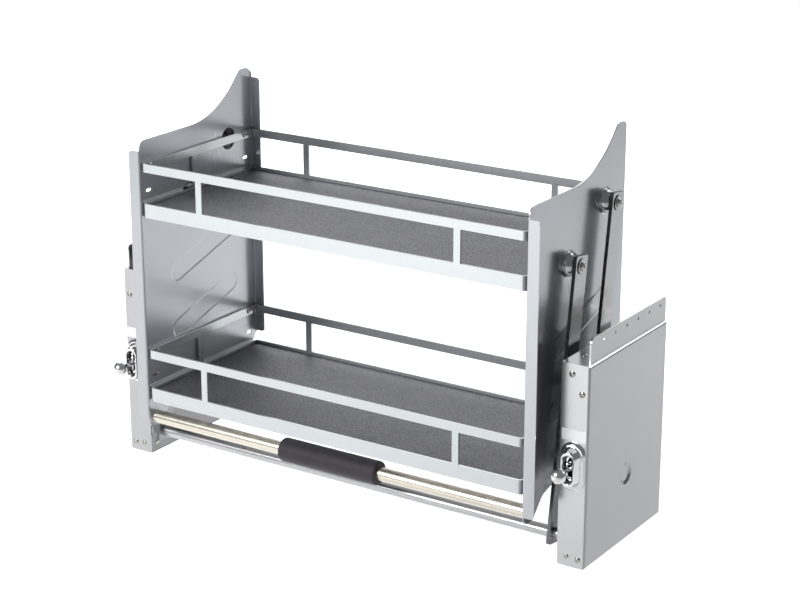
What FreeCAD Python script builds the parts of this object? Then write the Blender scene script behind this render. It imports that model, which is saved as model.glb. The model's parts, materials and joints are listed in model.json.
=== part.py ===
import FreeCAD, Part
import math
import os

os.makedirs("parts", exist_ok=True)
V = FreeCAD.Vector

# Pull-down shelf: two side casings carry two pairs of parallel arms, which carry
# a two-tier basket.  Working frame: X to the right, Y from the front to the back,
# Z up, millimetres.  Y = 0 is the basket's front face and Z = 0 the casings' feet.

# ---------------------------------------------------------------- driving sizes
WIDTH = 764.0                 # over both casings, for an 800 mm wide cabinet
CASE_T = 40.5                 # casing thickness
CASE_Y0, CASE_Y1 = 40.0, 258.0
CASE_H = 280.0
CASE_SHEET = 1.5
PLATE_SHEET = 2.0             # inner plate of the casing
FLANGE_TOP = 314.0            # top of the screw flange
FLANGE_SET = 3.5              # flange set in from the casing's outer face
CASE_BEND = 3.5               # outside radius of the casing's folds
FLANGE_HOLE_Z = 305.0
FLANGE_HOLE_Y = (81.0, 113.0, 145.0, 177.0, 209.0, 241.0)
FLANGE_HOLE_R = 2.1
FLANGE_T = 2.2                # screw flange, doubled sheet

PANEL_IN = 310.0              # inner face of a basket side panel, from the middle
PANEL_T = 1.5
PANEL_D = 259.5
FRONT_LIP = 18.0              # outward lip on the panel's front edge
REAR_LIP = 16.0               # inward lip on the panel's rear edge
BEND_R = 1.5                  # inside bend radius
PANEL_TOP = 485.0
LIP_Z0, LIP_Z1 = 72.0, 471.0
REAR_LIP_Z0, REAR_LIP_Z1 = 136.0, 530.5

LOW_FRONT = (55.0, 35.0)      # (Y, Z) of the lower front pivot
UP_FRONT = (106.5, 386.5)     # upper front pivot at rest
LINK = (95.5, 62.0)           # from a front pivot to its rear pivot
ARM_W = 30.0
ARM_T = 5.0
ARM_X0 = 325.5                # inner face of the arms
ARM_END = 14.0                # arm beyond the pivot
SYNC_R, SYNC_WALL = 8.0, 1.5  # tube that joins the front arms
RUN = 0.05                    # radial running clearance at the pivots

HANDLE_YZ = (16.0, 74.0)
HANDLE_R = 9.5
GRIP_R = 17.0
GRIP_HALF = 80.0

TRAY_Z = {"lower": 102.0, "upper": 376.5}
TRAY_HALF = 308.5
TRAY_Y0, TRAY_Y1 = 2.0, 256.5
TRAY_R = 6.5
BAR_T = 3.0
BAND_H = 20.0
RAIL_Z0, RAIL_Z1 = 65.5, 77.5
POST_W = 10.0
POST_X = 207.5
POST_Y = 118.0
BASE_Z, BASE_T, MAT_T = 11.5, 1.0, 2.5
MAT_GAP = 1.6                 # between the mat and the band round it

SWITCH_X, SWITCH_Z = 361.5, 141.0
BALL_Y, BALL_R = 2.0, 10.4

HALF = WIDTH / 2.0
CASE_IN = HALF - CASE_T
LOW_REAR = (LOW_FRONT[0] + LINK[0], LOW_FRONT[1] + LINK[1])
UP_REAR = (UP_FRONT[0] + LINK[0], UP_FRONT[1] + LINK[1])
ARM_L = math.hypot(UP_FRONT[0] - LOW_FRONT[0], UP_FRONT[1] - LOW_FRONT[1])
LEAN = math.degrees(math.atan2(UP_FRONT[0] - LOW_FRONT[0], UP_FRONT[1] - LOW_FRONT[1]))
ARM_X1 = ARM_X0 + ARM_T
# The origin is the middle of the overall box, at floor level.
MID_Y = (BALL_Y - BALL_R + PANEL_D) / 2.0


# ---------------------------------------------------------------- small helpers
def box(x0, x1, y0, y1, z0, z1):
    return Part.makeBox(x1 - x0, y1 - y0, z1 - z0, V(x0, y0, z0))


def cyl_x(x0, x1, y, z, r):
    return Part.makeCylinder(r, x1 - x0, V(x0, y, z), V(1, 0, 0))


def cyl_y(y0, y1, x, z, r):
    return Part.makeCylinder(r, y1 - y0, V(x, y0, z), V(0, 1, 0))


def cone_x(x0, x1, y, z, r0, r1):
    return Part.makeCone(r0, r1, x1 - x0, V(x0, y, z), V(1, 0, 0))


def fuse(first, *rest):
    shape = first
    for other in rest:
        shape = shape.fuse(other)
    return shape.removeSplitter()


def rounded_wire(points, place):
    """Closed wire from (a, b, radius) corners; place(a, b) gives the 3-D point."""
    n = len(points)
    starts, ends, mids = [], [], []
    for i in range(n):
        ax, ay, _ = points[i - 1]
        bx, by, r = points[i]
        cx, cy, _ = points[(i + 1) % n]
        ux, uy = ax - bx, ay - by
        wx, wy = cx - bx, cy - by
        lu, lw = math.hypot(ux, uy), math.hypot(wx, wy)
        ux, uy, wx, wy = ux / lu, uy / lu, wx / lw, wy / lw
        if r <= 0:
            starts.append((bx, by))
            ends.append((bx, by))
            mids.append(None)
            continue
        half = math.acos(max(-1.0, min(1.0, ux * wx + uy * wy))) / 2.0
        t = r / math.tan(half)
        starts.append((bx + ux * t, by + uy * t))
        ends.append((bx + wx * t, by + wy * t))
        mx, my = ux + wx, uy + wy
        lm = math.hypot(mx, my)
        reach = r / math.sin(half) - r
        mids.append((bx + mx / lm * reach, by + my / lm * reach))
    edges = []
    for i in range(n):
        if mids[i] is not None:
            edges.append(Part.Arc(place(*starts[i]), place(*mids[i]), place(*ends[i])).toShape())
        nxt = starts[(i + 1) % n]
        if math.hypot(nxt[0] - ends[i][0], nxt[1] - ends[i][1]) > 1e-6:
            edges.append(Part.LineSegment(place(*ends[i]), place(*nxt)).toShape())
    return Part.Wire(edges)


def slab_x(points, x0, x1):
    """Rounded outline in the YZ plane, extruded from x0 to x1."""
    wire = rounded_wire(points, lambda a, b: V(x0, a, b))
    return Part.Face(wire).extrude(V(x1 - x0, 0, 0))


def slab_y(points, y0, y1):
    """Rounded outline in the XZ plane, extruded from y0 to y1."""
    wire = rounded_wire(points, lambda a, b: V(a, y0, b))
    return Part.Face(wire).extrude(V(0, y1 - y0, 0))


def slab_z(x0, x1, y0, y1, r, z0, z1):
    pts = [(x0, y0, r), (x1, y0, r), (x1, y1, r), (x0, y1, r)]
    wire = rounded_wire(pts, lambda a, b: V(a, b, z0))
    return Part.Face(wire).extrude(V(0, 0, z1 - z0))


def ring_z(half, y0, y1, r, t, z0, z1):
    outer = slab_z(-half, half, y0, y1, r, z0, z1)
    inner = slab_z(-half + t, half - t, y0 + t, y1 - t, r - t, z0 - 1, z1 + 1)
    return outer.cut(inner)


def stadium_wire(p, q, r, place):
    """Oval of radius r about the segment p-q."""
    (ax, ay), (bx, by) = p, q
    length = math.hypot(bx - ax, by - ay)
    ux, uy = (bx - ax) / length, (by - ay) / length
    nx, ny = -uy, ux
    a1, a2 = (ax + nx * r, ay + ny * r), (ax - nx * r, ay - ny * r)
    b1, b2 = (bx + nx * r, by + ny * r), (bx - nx * r, by - ny * r)
    am, bm = (ax - ux * r, ay - uy * r), (bx + ux * r, by + uy * r)
    return Part.Wire([
        Part.LineSegment(place(*a2), place(*b2)).toShape(),
        Part.Arc(place(*b2), place(*bm), place(*b1)).toShape(),
        Part.LineSegment(place(*b1), place(*a1)).toShape(),
        Part.Arc(place(*a1), place(*am), place(*a2)).toShape(),
    ])


def oval_x(p, q, r, x0, x1):
    return Part.Face(stadium_wire(p, q, r, lambda a, b: V(x0, a, b))).extrude(V(x1 - x0, 0, 0))


def oval_y(p, q, r, y0, y1):
    return Part.Face(stadium_wire(p, q, r, lambda a, b: V(a, y0, b))).extrude(V(0, y1 - y0, 0))


def bead_x(p, q, r0, x0, r1, x1):
    """Sloping-sided oval between radius r0 at x0 and radius r1 at x1."""
    w0 = stadium_wire(p, q, r0, lambda a, b: V(x0, a, b))
    w1 = stadium_wire(p, q, r1, lambda a, b: V(x1, a, b))
    return Part.makeLoft([w0, w1], True, True)


def pan_head(axis, x, y, z, r, h, sign):
    """Low domed head with a cross recess, standing on (x, y, z) along sign*axis."""
    direction = V(*[sign * c for c in axis])
    body = Part.makeCylinder(r, h * 0.45, V(x, y, z), direction)
    top = V(x, y, z) + direction * (h * 0.45)
    cap = Part.makeCone(r, r * 0.62, h * 0.55, top, direction)
    head = body.fuse(cap)
    tip = V(x, y, z) + direction * h
    a, b, d = r * 0.5, r * 0.11, h * 0.5
    for u, w in ((a, b), (b, a)):
        if axis == (1, 0, 0):
            slot = box(-d, d, -u, u, -w, w)
        elif axis == (0, 1, 0):
            slot = box(-u, u, -d, d, -w, w)
        else:
            slot = box(-u, u, -w, w, -d, d)
        slot.translate(tip)
        head = head.cut(slot)
    return head


NODES = {}


def keep(name, shape):
    NODES[name] = shape


def keep_pair(name, shape):
    """Right-hand piece and its mirror image on the left."""
    keep("right_" + name, shape)
    keep("left_" + name, shape.mirror(V(0, 0, 0), V(1, 0, 0)))


# ---------------------------------------------------------------- side casing
def outer_casing():
    s = CASE_SHEET
    outer = box(CASE_IN, HALF, CASE_Y0, CASE_Y1, 0, CASE_H)
    bends = [e for e in outer.Edges
             if abs(e.BoundBox.XMin - HALF) < 1e-6 and abs(e.BoundBox.XMax - HALF) < 1e-6]
    outer = outer.makeFillet(CASE_BEND, bends)
    inner = box(CASE_IN - 5, HALF - s, CASE_Y0 + s, CASE_Y1 - s, s, CASE_H - s)
    bends = [e for e in inner.Edges
             if abs(e.BoundBox.XMin - (HALF - s)) < 1e-6 and abs(e.BoundBox.XMax - (HALF - s)) < 1e-6]
    inner = inner.makeFillet(CASE_BEND - s, bends)
    shell = outer.cut(inner)
    # front wall's free edge has rounded corners
    for z, up in ((0.0, 1), (CASE_H, -1)):
        corner = box(CASE_IN - 1, CASE_IN + 4, CASE_Y0 - 1, CASE_Y0 + s,
                     min(z - up, z + 4 * up), max(z - up, z + 4 * up))
        corner = corner.cut(cyl_y(CASE_Y0 - 1, CASE_Y0 + s, CASE_IN + 4, z + 4 * up, 4.0))
        shell = shell.cut(corner)
    # screw flange above the top, set in from the outer face
    fx1 = HALF - FLANGE_SET
    fx0 = fx1 - FLANGE_T
    flange = slab_x([(CASE_Y0 + 8, CASE_H - 1.2, 0), (CASE_Y1, CASE_H - 1.2, 0),
                     (CASE_Y1, FLANGE_TOP, 5), (CASE_Y0 + 8, FLANGE_TOP, 8)], fx0, fx1)
    shell = shell.fuse(flange)
    for y in FLANGE_HOLE_Y:
        shell = shell.cut(cyl_x(fx0 - 1, fx1 + 1, y, FLANGE_HOLE_Z, FLANGE_HOLE_R))
    # round dimple over the rear axle's end
    y, z = LOW_REAR
    shell = shell.fuse(cone_x(HALF - s - DIMPLE_DEEP, HALF - s, y, z, DIMPLE_R1 + 1.0, DIMPLE_R0 + 1.0))
    shell = shell.cut(cone_x(HALF - DIMPLE_DEEP, HALF + 0.001, y, z, DIMPLE_R1, DIMPLE_R0))
    # opening and holes
    shell = shell.cut(oval_y((SWITCH_X, SWITCH_Z - 13), (SWITCH_X, SWITCH_Z + 13), 8.5,
                             CASE_Y0 - 1, CASE_Y0 + s + 0.5))
    for x, z, r in CASE_SCREWS:
        shell = shell.cut(cyl_y(CASE_Y0 - 1, CASE_Y0 + s + 0.5, x, z, 2.1))
    x, y = TOP_SCREW
    shell = shell.cut(Part.makeCylinder(2.1, s + 2, V(x, y, CASE_H - s - 0.5)))
    return shell.removeSplitter()


# front screws (X, Z, head radius)
CASE_SCREWS = ((357.0, 266.0, 4.2), (372.0, 241.0, 4.2), (371.5, 12.0, 4.2), (355.0, 13.5, 3.4))
TOP_SCREW = (355.0, 75.0)
PLATE_RIVET = (54.0, 13.5)
DIMPLE_R0, DIMPLE_R1, DIMPLE_DEEP = 15.5, 11.3, 2.3


def inner_plate():
    x0 = CASE_IN + 0.5
    x1 = x0 + PLATE_SHEET
    y0, y1 = CASE_Y0 + CASE_SHEET, CASE_Y1 - CASE_SHEET
    z0, z1 = CASE_SHEET, CASE_H - CASE_SHEET
    t = 1.5
    plate = box(x0, x1, y0, y1, z0, z1)
    plate = fuse(plate,
                 box(x0, 377, y0, y0 + t, z0, z1),
                 box(x0, 360, y1 - t, y1, z0, z1),
                 box(x0, 360, y0, y1, z0, z0 + t),
                 box(x0, 360, y0, y1, z1 - t, z1))
    plate = plate.cut(oval_y((SWITCH_X, SWITCH_Z - 14), (SWITCH_X, SWITCH_Z + 14), 9.0, y0 - 1, y0 + t + 1))
    for y, z in (LOW_FRONT, LOW_REAR):
        plate = plate.cut(cyl_x(x0 - 1, x1 + 1, y, z, 10.0))
    for x, z, r in CASE_SCREWS:
        plate = plate.cut(cyl_y(y0 - 1, y0 + t + 1, x, z, 2.0))
    x, y = TOP_SCREW
    plate = plate.cut(Part.makeCylinder(2.0, t + 2, V(x, y, z1 - t - 1)))
    y, z = PLATE_RIVET
    plate = plate.cut(cyl_x(x0 - 1, x1 + 1, y, z, 2.0))
    y, z = STOP_YZ
    plate = plate.cut(cyl_x(x0 - 1, x1 + 1, y, z, 3.0))
    for y, z in ANCHORS:
        plate = plate.cut(cyl_x(x0 - 1, x1 + 1, y, z, 3.0))
    return plate.removeSplitter()


def casing_screws():
    shapes = []
    for x, z, r in CASE_SCREWS:
        head = pan_head((0, 1, 0), x, CASE_Y0, z, r, 2.2, -1)
        shank = cyl_y(CASE_Y0, CASE_Y0 + 8, x, z, 2.0)
        shapes.append(head.fuse(shank).removeSplitter())
    x, y = TOP_SCREW
    head = pan_head((0, 0, 1), x, y, CASE_H, 4.2, 2.2, 1)
    shapes.append(head.fuse(Part.makeCylinder(2.0, 8, V(x, y, CASE_H - 8))).removeSplitter())
    y, z = PLATE_RIVET
    xf = CASE_IN + 0.5
    ball = Part.makeSphere(5.0, V(xf + 3.4, y, z))
    head = ball.common(box(xf - 6, xf, y - 8, y + 8, z - 8, z + 8))
    shapes.append(head.fuse(cyl_x(xf, xf + 5, y, z, 2.0)).removeSplitter())
    return Part.makeCompound(shapes)


def axle_bushes():
    shapes = []
    x0 = CASE_IN + 0.5
    for y, z in (LOW_FRONT, LOW_REAR):
        bush = fuse(cyl_x(x0 - 2.2, x0, y, z, 13.0), cyl_x(x0 - 2.2, x0 + 4.0, y, z, 10.0))
        shapes.append(bush.cut(cyl_x(x0 - 5, x0 + 6, y, z, 7.0 + RUN)))
    return Part.makeCompound(shapes)


# crank pins on the rear axle and the springs' fixed pins, all as (Y, Z)
PIN_R = 30.0
PIN_ANGLE = 100.0
SPRING_X = (350.5, 366.0)
CRANK_PIN = (LOW_REAR[0] + PIN_R * math.cos(math.radians(PIN_ANGLE)),
             LOW_REAR[1] + PIN_R * math.sin(math.radians(PIN_ANGLE)))
ANCHORS = ((226.0, 250.0),)
STOP_S, STOP_R = 100.0, 7.0
_n = ARM_W / 2.0 + STOP_R + 0.4
_c, _s = math.cos(math.radians(LEAN)), math.sin(math.radians(LEAN))
STOP_YZ = (LOW_REAR[0] + STOP_S * _s + _n * _c, LOW_REAR[1] + STOP_S * _c - _n * _s)


def springs():
    """Two close-wound tension springs side by side on one crank pin."""
    shapes = []
    (py, pz), (ay, az) = CRANK_PIN, ANCHORS[0]
    length = math.hypot(ay - py, az - pz)
    turn = math.degrees(math.atan2(-(ay - py), az - pz))
    for x in SPRING_X:
        lo, hi, pitch = 14.0, length - 14.0, 3.0
        count = int((hi - lo) / pitch)
        pts = [V(0, 0, lo), V(4.6, 0, lo)]
        for i in range(count):
            pts += [V(5.4, 0, lo + (i + 0.5) * pitch), V(4.6, 0, lo + (i + 1) * pitch)]
        pts += [V(0, 0, lo + count * pitch), V(0, 0, lo)]
        body = Part.Face(Part.makePolygon(pts)).revolve(V(0, 0, 0), V(0, 0, 1), 360)
        top = lo + count * pitch
        body = body.fuse(Part.makeCylinder(0.9, lo - 3.9 + 0.5, V(0, 0, 3.9)))
        body = body.fuse(Part.makeCylinder(0.9, length - 3.9 - top + 0.5, V(0, 0, top - 0.5)))
        low_ring = Part.makeTorus(4.3, 0.9, V(0, 0, 0), V(1, 0, 0))
        top_ring = Part.makeTorus(3.9, 0.9, V(0, 0, length), V(1, 0, 0))
        body = body.fuse(low_ring).fuse(top_ring)
        body.rotate(V(0, 0, 0), V(1, 0, 0), turn)
        body.translate(V(x, py, pz))
        shapes.append(body)
    return Part.makeCompound(shapes)


def spring_anchor():
    y, z = ANCHORS[0]
    x0 = CASE_IN + 0.5
    return fuse(cyl_x(x0, 373.0, y, z, 3.0), cyl_x(371.0, 373.0, y, z, 5.0))


def damper():
    """Rotary damper round the rear axle."""
    y, z = LOW_REAR
    body = fuse(cyl_x(372.2, 377.8, y, z, 13.0), slab_x(
        [(y - 4, z - 26, 2), (y + 4, z - 26, 2), (y + 4, z - 5, 0), (y - 4, z - 5, 0)], 374.0, 377.8))
    return body.cut(cyl_x(370, 380, y, z, 7.0 + RUN))


def switch_base():
    """Oval escutcheon, its standing collar with a slot, and the ears behind it."""
    x, z = SWITCH_X, SWITCH_Z
    y = CASE_Y0
    plate = oval_y((x, z - 15.6), (x, z + 15.6), 18.0, y - 3.0, y)
    step = oval_y((x, z - 15.0), (x, z + 15.0), 14.0, y - 5.0, y - 3.0)
    collar = oval_y((x, z - 14.2), (x, z + 14.2), 9.6, y - 17.0, y - 5.0)
    neck = oval_y((x, z - 12.0), (x, z + 12.0), 8.0, y, y + 4.0)
    base = fuse(plate, step, collar, neck)
    for x0 in (x - 8.0, x + 4.0):
        base = base.fuse(box(x0, x0 + 4.0, y + 4.0 - 1.0, y + 14.0, z - 7, z + 7))
    base = base.cut(oval_y((x, z - 9.0), (x, z + 9.0), 4.4, y - 20.0, y + 20.0))
    base = base.cut(box(x - 4.0, x + 4.0, y + 1.5, y + 16, z - 13.4, z + 13.4))
    base = base.cut(cyl_x(x - 9, x + 9, y + 8.5, z, 2.0))
    pin = cyl_x(x - 8.0, x + 8.0, y + 8.5, z, 2.0)
    return Part.makeCompound([base.removeSplitter(), pin])


def switch_lever():
    x, z, y = SWITCH_X, SWITCH_Z, CASE_Y0 + 8.5
    hub = cyl_x(x - 3.6, x + 3.6, y, z, 5.5)
    rod = Part.makeCone(3.0, 3.6, y - 4.0 - BALL_Y, V(x, BALL_Y, z), V(0, 1, 0))
    lever = fuse(hub, rod)
    return lever.cut(cyl_x(x - 5, x + 5, y, z, 2.0 + RUN))


def switch_ball():
    x, y, z, r = SWITCH_X, BALL_Y, SWITCH_Z, BALL_R
    ball = Part.makeSphere(r, V(x, y, z)).common(box(x - 15, x + 15, y - 15, y, z - 15, z + 15))
    ball = ball.fuse(Part.makeCone(r, 4.6, 5.0, V(x, y, z), V(0, 1, 0))).removeSplitter()
    rod = Part.makeCone(3.0, 3.6, CASE_Y0 + 4.5 - BALL_Y, V(SWITCH_X, BALL_Y, SWITCH_Z), V(0, 1, 0))
    return ball.cut(rod)


def stop_buffer():
    y, z = STOP_YZ
    x0 = CASE_IN + 0.5
    return fuse(cyl_x(ARM_X0 + 1.0, x0, y, z, STOP_R), cyl_x(x0, x0 + PLATE_SHEET, y, z, 3.0))


# ---------------------------------------------------------------- arms
def arm(pivot, bore):
    """Flat arm leaning back at rest; pivot is its lower (Y, Z) pivot."""
    h = ARM_W / 2.0
    bar = slab_x([(-h, -ARM_END, 4), (h, -ARM_END, 4), (h, ARM_L + ARM_END, 4), (-h, ARM_L + ARM_END, 4)],
                 ARM_X0, ARM_X1)
    bar = bar.cut(cyl_x(ARM_X0 - 1, ARM_X1 + 1, 0, 0, bore))
    bar = bar.cut(cyl_x(ARM_X0 - 1, ARM_X1 + 1, 0, ARM_L, 5.0 + RUN))
    bar.rotate(V(0, 0, 0), V(1, 0, 0), -LEAN)
    bar.translate(V(0, pivot[0], pivot[1]))
    return bar


def front_axle():
    y, z = LOW_FRONT
    return fuse(cyl_x(ARM_X0, 376.0, y, z, 7.0), cyl_x(348.0, 350.0, y, z, 9.0))


def rear_axle():
    y, z = LOW_REAR
    return cyl_x(ARM_X0, 377.5, y, z, 7.0)


def spring_crank():
    y, z = LOW_REAR
    py, pz = CRANK_PIN
    body = fuse(oval_x((y, z), (py, pz), 9.5, 357.0, 359.5),
                cyl_x(355.8, 360.7, y, z, 9.5),
                cyl_x(345.5, 371.2, py, pz, 3.0))
    return body.cut(cyl_x(350, 365, y, z, 7.0))


# ---------------------------------------------------------------- basket
# panel outline in (Y, Z, corner radius): handle lug, curved foot, tall rear horn
PANEL_OUTLINE = [
    (3.0, 59.0, 10.0), (27.0, 59.0, 10.0), (52.0, 85.0, 22.0), (92.0, 95.0, 40.0),
    (138.0, 114.0, 60.0), (PANEL_D, 114.0, 30.0), (PANEL_D, 545.0, 13.0), (233.5, 546.3, 12.0),
    (177.0, PANEL_TOP, 150.0),
    (3.0, PANEL_TOP, 12.0), (3.0, LIP_Z1, 0.0), (0.0, LIP_Z1, 0.0),
    (0.0, LIP_Z0, 0.0), (3.0, LIP_Z0, 0.0),
]
BEADS = (((77.0, 192.0), (199.0, 230.0)), ((77.0, 278.0), (199.0, 316.0)))
BEAD_H = 0.45                 # how far a bead stands out
CUP_R = 16.2                  # opening in the panel behind each pivot cup
SLOT_Y = (19.0, 241.0)
SLOT_Z = 35.5                 # above a tray's underside
TRAY_SCREW_Y = (19.0, 235.0)


def side_panel():
    x0, x1 = PANEL_IN, PANEL_IN + PANEL_T
    t, r = PANEL_T, BEND_R
    ro = r + t
    zlo, zhi = 30.0, 580.0
    web = box(x0, x1, ro, PANEL_D - ro, zlo, zhi)

    def quarter(cx, cy, qx, qy):
        ring = Part.makeCylinder(ro, zhi - zlo, V(cx, cy, zlo)).cut(
            Part.makeCylinder(r, zhi - zlo, V(cx, cy, zlo)))
        return ring.common(box(min(cx, cx + qx * ro), max(cx, cx + qx * ro),
                               min(cy, cy + qy * ro), max(cy, cy + qy * ro), zlo, zhi))

    web = web.fuse(quarter(x0 + ro, ro, -1, -1))
    web = web.fuse(quarter(x1 - ro, PANEL_D - ro, 1, 1))
    web = web.common(slab_x(PANEL_OUTLINE, x0 - 10, x1 + 10))
    lip = slab_y([(x0 + ro, LIP_Z0, 0), (x0 + FRONT_LIP, LIP_Z0, 6), (x0 + FRONT_LIP, LIP_Z1, 6),
                  (x0 + ro, LIP_Z1, 0)], 0, t)
    rear = slab_y([(x1 - ro, REAR_LIP_Z0, 0), (x1 - ro, REAR_LIP_Z1, 0),
                   (x0 - REAR_LIP, REAR_LIP_Z1, 5), (x0 - REAR_LIP, REAR_LIP_Z0, 5)],
                  PANEL_D - t, PANEL_D)
    panel = web.fuse(lip).fuse(rear)
    for p, q in BEADS:
        panel = panel.fuse(bead_x(p, q, 15.6, x1, 12.9, x1 + BEAD_H))
        panel = panel.cut(bead_x(p, q, 15.2, x0 - 0.001, 12.5, x0 + BEAD_H))
    for y, z in (UP_FRONT, UP_REAR):
        panel = panel.cut(cyl_x(x0 - 2, x1 + 2, y, z, CUP_R))
    for base in TRAY_Z.values():
        for y in SLOT_Y:
            panel = panel.cut(oval_x((y - 3.4, base + SLOT_Z), (y + 3.4, base + SLOT_Z), 2.3, x0 - 1, x1 + 1))
        for y in TRAY_SCREW_Y:
            panel = panel.cut(cyl_x(x0 - 1, x1 + 1, y, base + 71.5, 2.1))
    panel = panel.cut(cyl_x(x0 - 1, x1 + 1, HANDLE_YZ[0], HANDLE_YZ[1], 2.5))
    return panel.removeSplitter()


def pivot_cup(y, z):
    """Pressed cup that stands off the panel and meets the arm."""
    x = PANEL_IN + PANEL_T
    end = ARM_X0 - 0.4
    outer = fuse(cyl_x(x, x + 0.5, y, z, 18.4), cone_x(x + 0.5, end, y, z, 17.0, 10.2))
    inner = cone_x(x - 0.001, end - 1.8, y, z, CUP_R - 0.2, 8.8)
    cup = outer.cut(inner)
    return cup.cut(cyl_x(end - 4, end + 1, y, z, 5.0))


def pivot_bolt(y, z):
    """Shoulder bolt with its washer outside the arm and its nut inside the cup."""
    gap = 0.4
    x = ARM_X1 + gap
    end = ARM_X0 - gap
    washer = cyl_x(x, x + 1.0, y, z, 10.5).cut(cyl_x(x - 1, x + 2, y, z, 5.0))
    head = pan_head((1, 0, 0), x + 1.0, y, z, 6.5, 3.4, 1)
    bolt = head.fuse(cyl_x(end - 2.0, x + 1.0, y, z, 5.0)).fuse(cyl_x(end - 9.5, end - 2.0, y, z, 4.0))
    hexa = [V(end - 8.5, y + 7.4 * math.cos(math.radians(a)), z + 7.4 * math.sin(math.radians(a)))
            for a in range(0, 360, 60)]
    nut = Part.Face(Part.makePolygon(hexa + [hexa[0]])).extrude(V(6.5, 0, 0))
    nut = nut.cut(cyl_x(end - 12, end, y, z, 4.0))
    return Part.makeCompound([washer, bolt.removeSplitter(), nut])


def handle_tube():
    y, z = HANDLE_YZ
    return cyl_x(-PANEL_IN, PANEL_IN, y, z, HANDLE_R).cut(cyl_x(-PANEL_IN - 1, PANEL_IN + 1, y, z, HANDLE_R - 1.5))


def handle_grip():
    y, z = HANDLE_YZ
    grip = cyl_x(-GRIP_HALF, GRIP_HALF, y, z, GRIP_R)
    grip = grip.makeFillet(2.5, [e for e in grip.Edges if e.Curve.TypeId == "Part::GeomCircle"])
    return grip.cut(cyl_x(-GRIP_HALF - 1, GRIP_HALF + 1, y, z, HANDLE_R))


def handle_fixings():
    y, z = HANDLE_YZ
    shapes = []
    plug = cyl_x(PANEL_IN - 14, PANEL_IN, y, z, HANDLE_R - 1.5).cut(cyl_x(PANEL_IN - 15, PANEL_IN + 1, y, z, 2.5))
    screw = pan_head((1, 0, 0), PANEL_IN + PANEL_T, y, z, 5.0, 2.6, 1).fuse(
        cyl_x(PANEL_IN - 13, PANEL_IN + PANEL_T, y, z, 2.5)).removeSplitter()
    for s in (plug, screw):
        shapes += [s, s.mirror(V(0, 0, 0), V(1, 0, 0))]
    return Part.makeCompound(shapes)


def sync_tube():
    y, z = LOW_FRONT
    return cyl_x(-ARM_X0, ARM_X0, y, z, SYNC_R).cut(cyl_x(-ARM_X0 - 1, ARM_X0 + 1, y, z, SYNC_R - SYNC_WALL))


def tray(name, z0):
    keep(name + "_tray_rail", ring_with_screw_holes(z0))
    posts = []
    for x in (-POST_X, POST_X):
        posts.append(box(x - POST_W / 2, x + POST_W / 2, TRAY_Y0, TRAY_Y0 + BAR_T, z0 + BAND_H, z0 + RAIL_Z0))
        posts.append(box(x - POST_W / 2, x + POST_W / 2, TRAY_Y1 - BAR_T, TRAY_Y1, z0 + BAND_H, z0 + RAIL_Z0))
    for x in (-TRAY_HALF, TRAY_HALF - BAR_T):
        posts.append(box(x, x + BAR_T, POST_Y - POST_W / 2, POST_Y + POST_W / 2, z0 + BAND_H, z0 + RAIL_Z0))
    keep(name + "_tray_posts", Part.makeCompound(posts))
    keep(name + "_tray_band", ring_z(TRAY_HALF, TRAY_Y0, TRAY_Y1, TRAY_R, BAR_T, z0, z0 + BAND_H))
    base = slab_z(-TRAY_HALF + BAR_T, TRAY_HALF - BAR_T, TRAY_Y0 + BAR_T, TRAY_Y1 - BAR_T,
                  TRAY_R - BAR_T, z0 + BASE_Z, z0 + BASE_Z + BASE_T)
    keep(name + "_tray_base", base)
    g = BAR_T + MAT_GAP
    mat = slab_z(-TRAY_HALF + g, TRAY_HALF - g, TRAY_Y0 + g, TRAY_Y1 - g, TRAY_R - g, z0 + BASE_Z + BASE_T, z0 + BASE_Z + BASE_T + MAT_T)
    keep(name + "_tray_mat", mat)
    screws = []
    for y in TRAY_SCREW_Y:
        z = z0 + 71.5
        xi = TRAY_HALF - BAR_T
        screw = pan_head((1, 0, 0), xi, y, z, 4.2, 2.2, -1).fuse(cyl_x(xi, PANEL_IN + PANEL_T, y, z, 2.0)).removeSplitter()
        spacer = cyl_x(TRAY_HALF, PANEL_IN, y, z, 4.2).cut(cyl_x(TRAY_HALF - 1, PANEL_IN + 1, y, z, 2.1))
        for s in (screw, spacer):
            screws += [s, s.mirror(V(0, 0, 0), V(1, 0, 0))]
    keep(name + "_tray_screws", Part.makeCompound(screws))


def ring_with_screw_holes(z0):
    rail = ring_z(TRAY_HALF, TRAY_Y0, TRAY_Y1, TRAY_R, BAR_T, z0 + RAIL_Z0, z0 + RAIL_Z1)
    for y in TRAY_SCREW_Y:
        rail = rail.cut(cyl_x(-TRAY_HALF - 1, TRAY_HALF + 1, y, z0 + 71.5, 2.1))
    return rail


# ---------------------------------------------------------------- build and write
keep_pair("outer_casing", outer_casing())
keep_pair("inner_plate", inner_plate())
keep_pair("casing_screws", casing_screws())
keep_pair("axle_bushes", axle_bushes())
keep_pair("springs", springs())
keep_pair("spring_anchor", spring_anchor())
keep_pair("rotary_damper", damper())
keep_pair("switch_base", switch_base())
keep_pair("switch_lever", switch_lever())
keep_pair("switch_ball", switch_ball())
keep_pair("stop_buffer", stop_buffer())
keep_pair("front_arm", arm(LOW_FRONT, 7.0))
keep_pair("rear_arm", arm(LOW_REAR, 7.0))
keep_pair("front_axle", front_axle())
keep_pair("rear_axle", rear_axle())
keep_pair("spring_crank", spring_crank())
keep("sync_tube", sync_tube())
keep_pair("side_panel", side_panel())
keep_pair("front_pivot_cup", pivot_cup(*UP_FRONT))
keep_pair("rear_pivot_cup", pivot_cup(*UP_REAR))
keep_pair("front_pivot_bolt", pivot_bolt(*UP_FRONT))
keep_pair("rear_pivot_bolt", pivot_bolt(*UP_REAR))
keep("handle_tube", handle_tube())
keep("handle_grip", handle_grip())
keep("handle_fixings", handle_fixings())
for tray_name, tray_z in TRAY_Z.items():
    tray(tray_name, tray_z)

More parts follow.
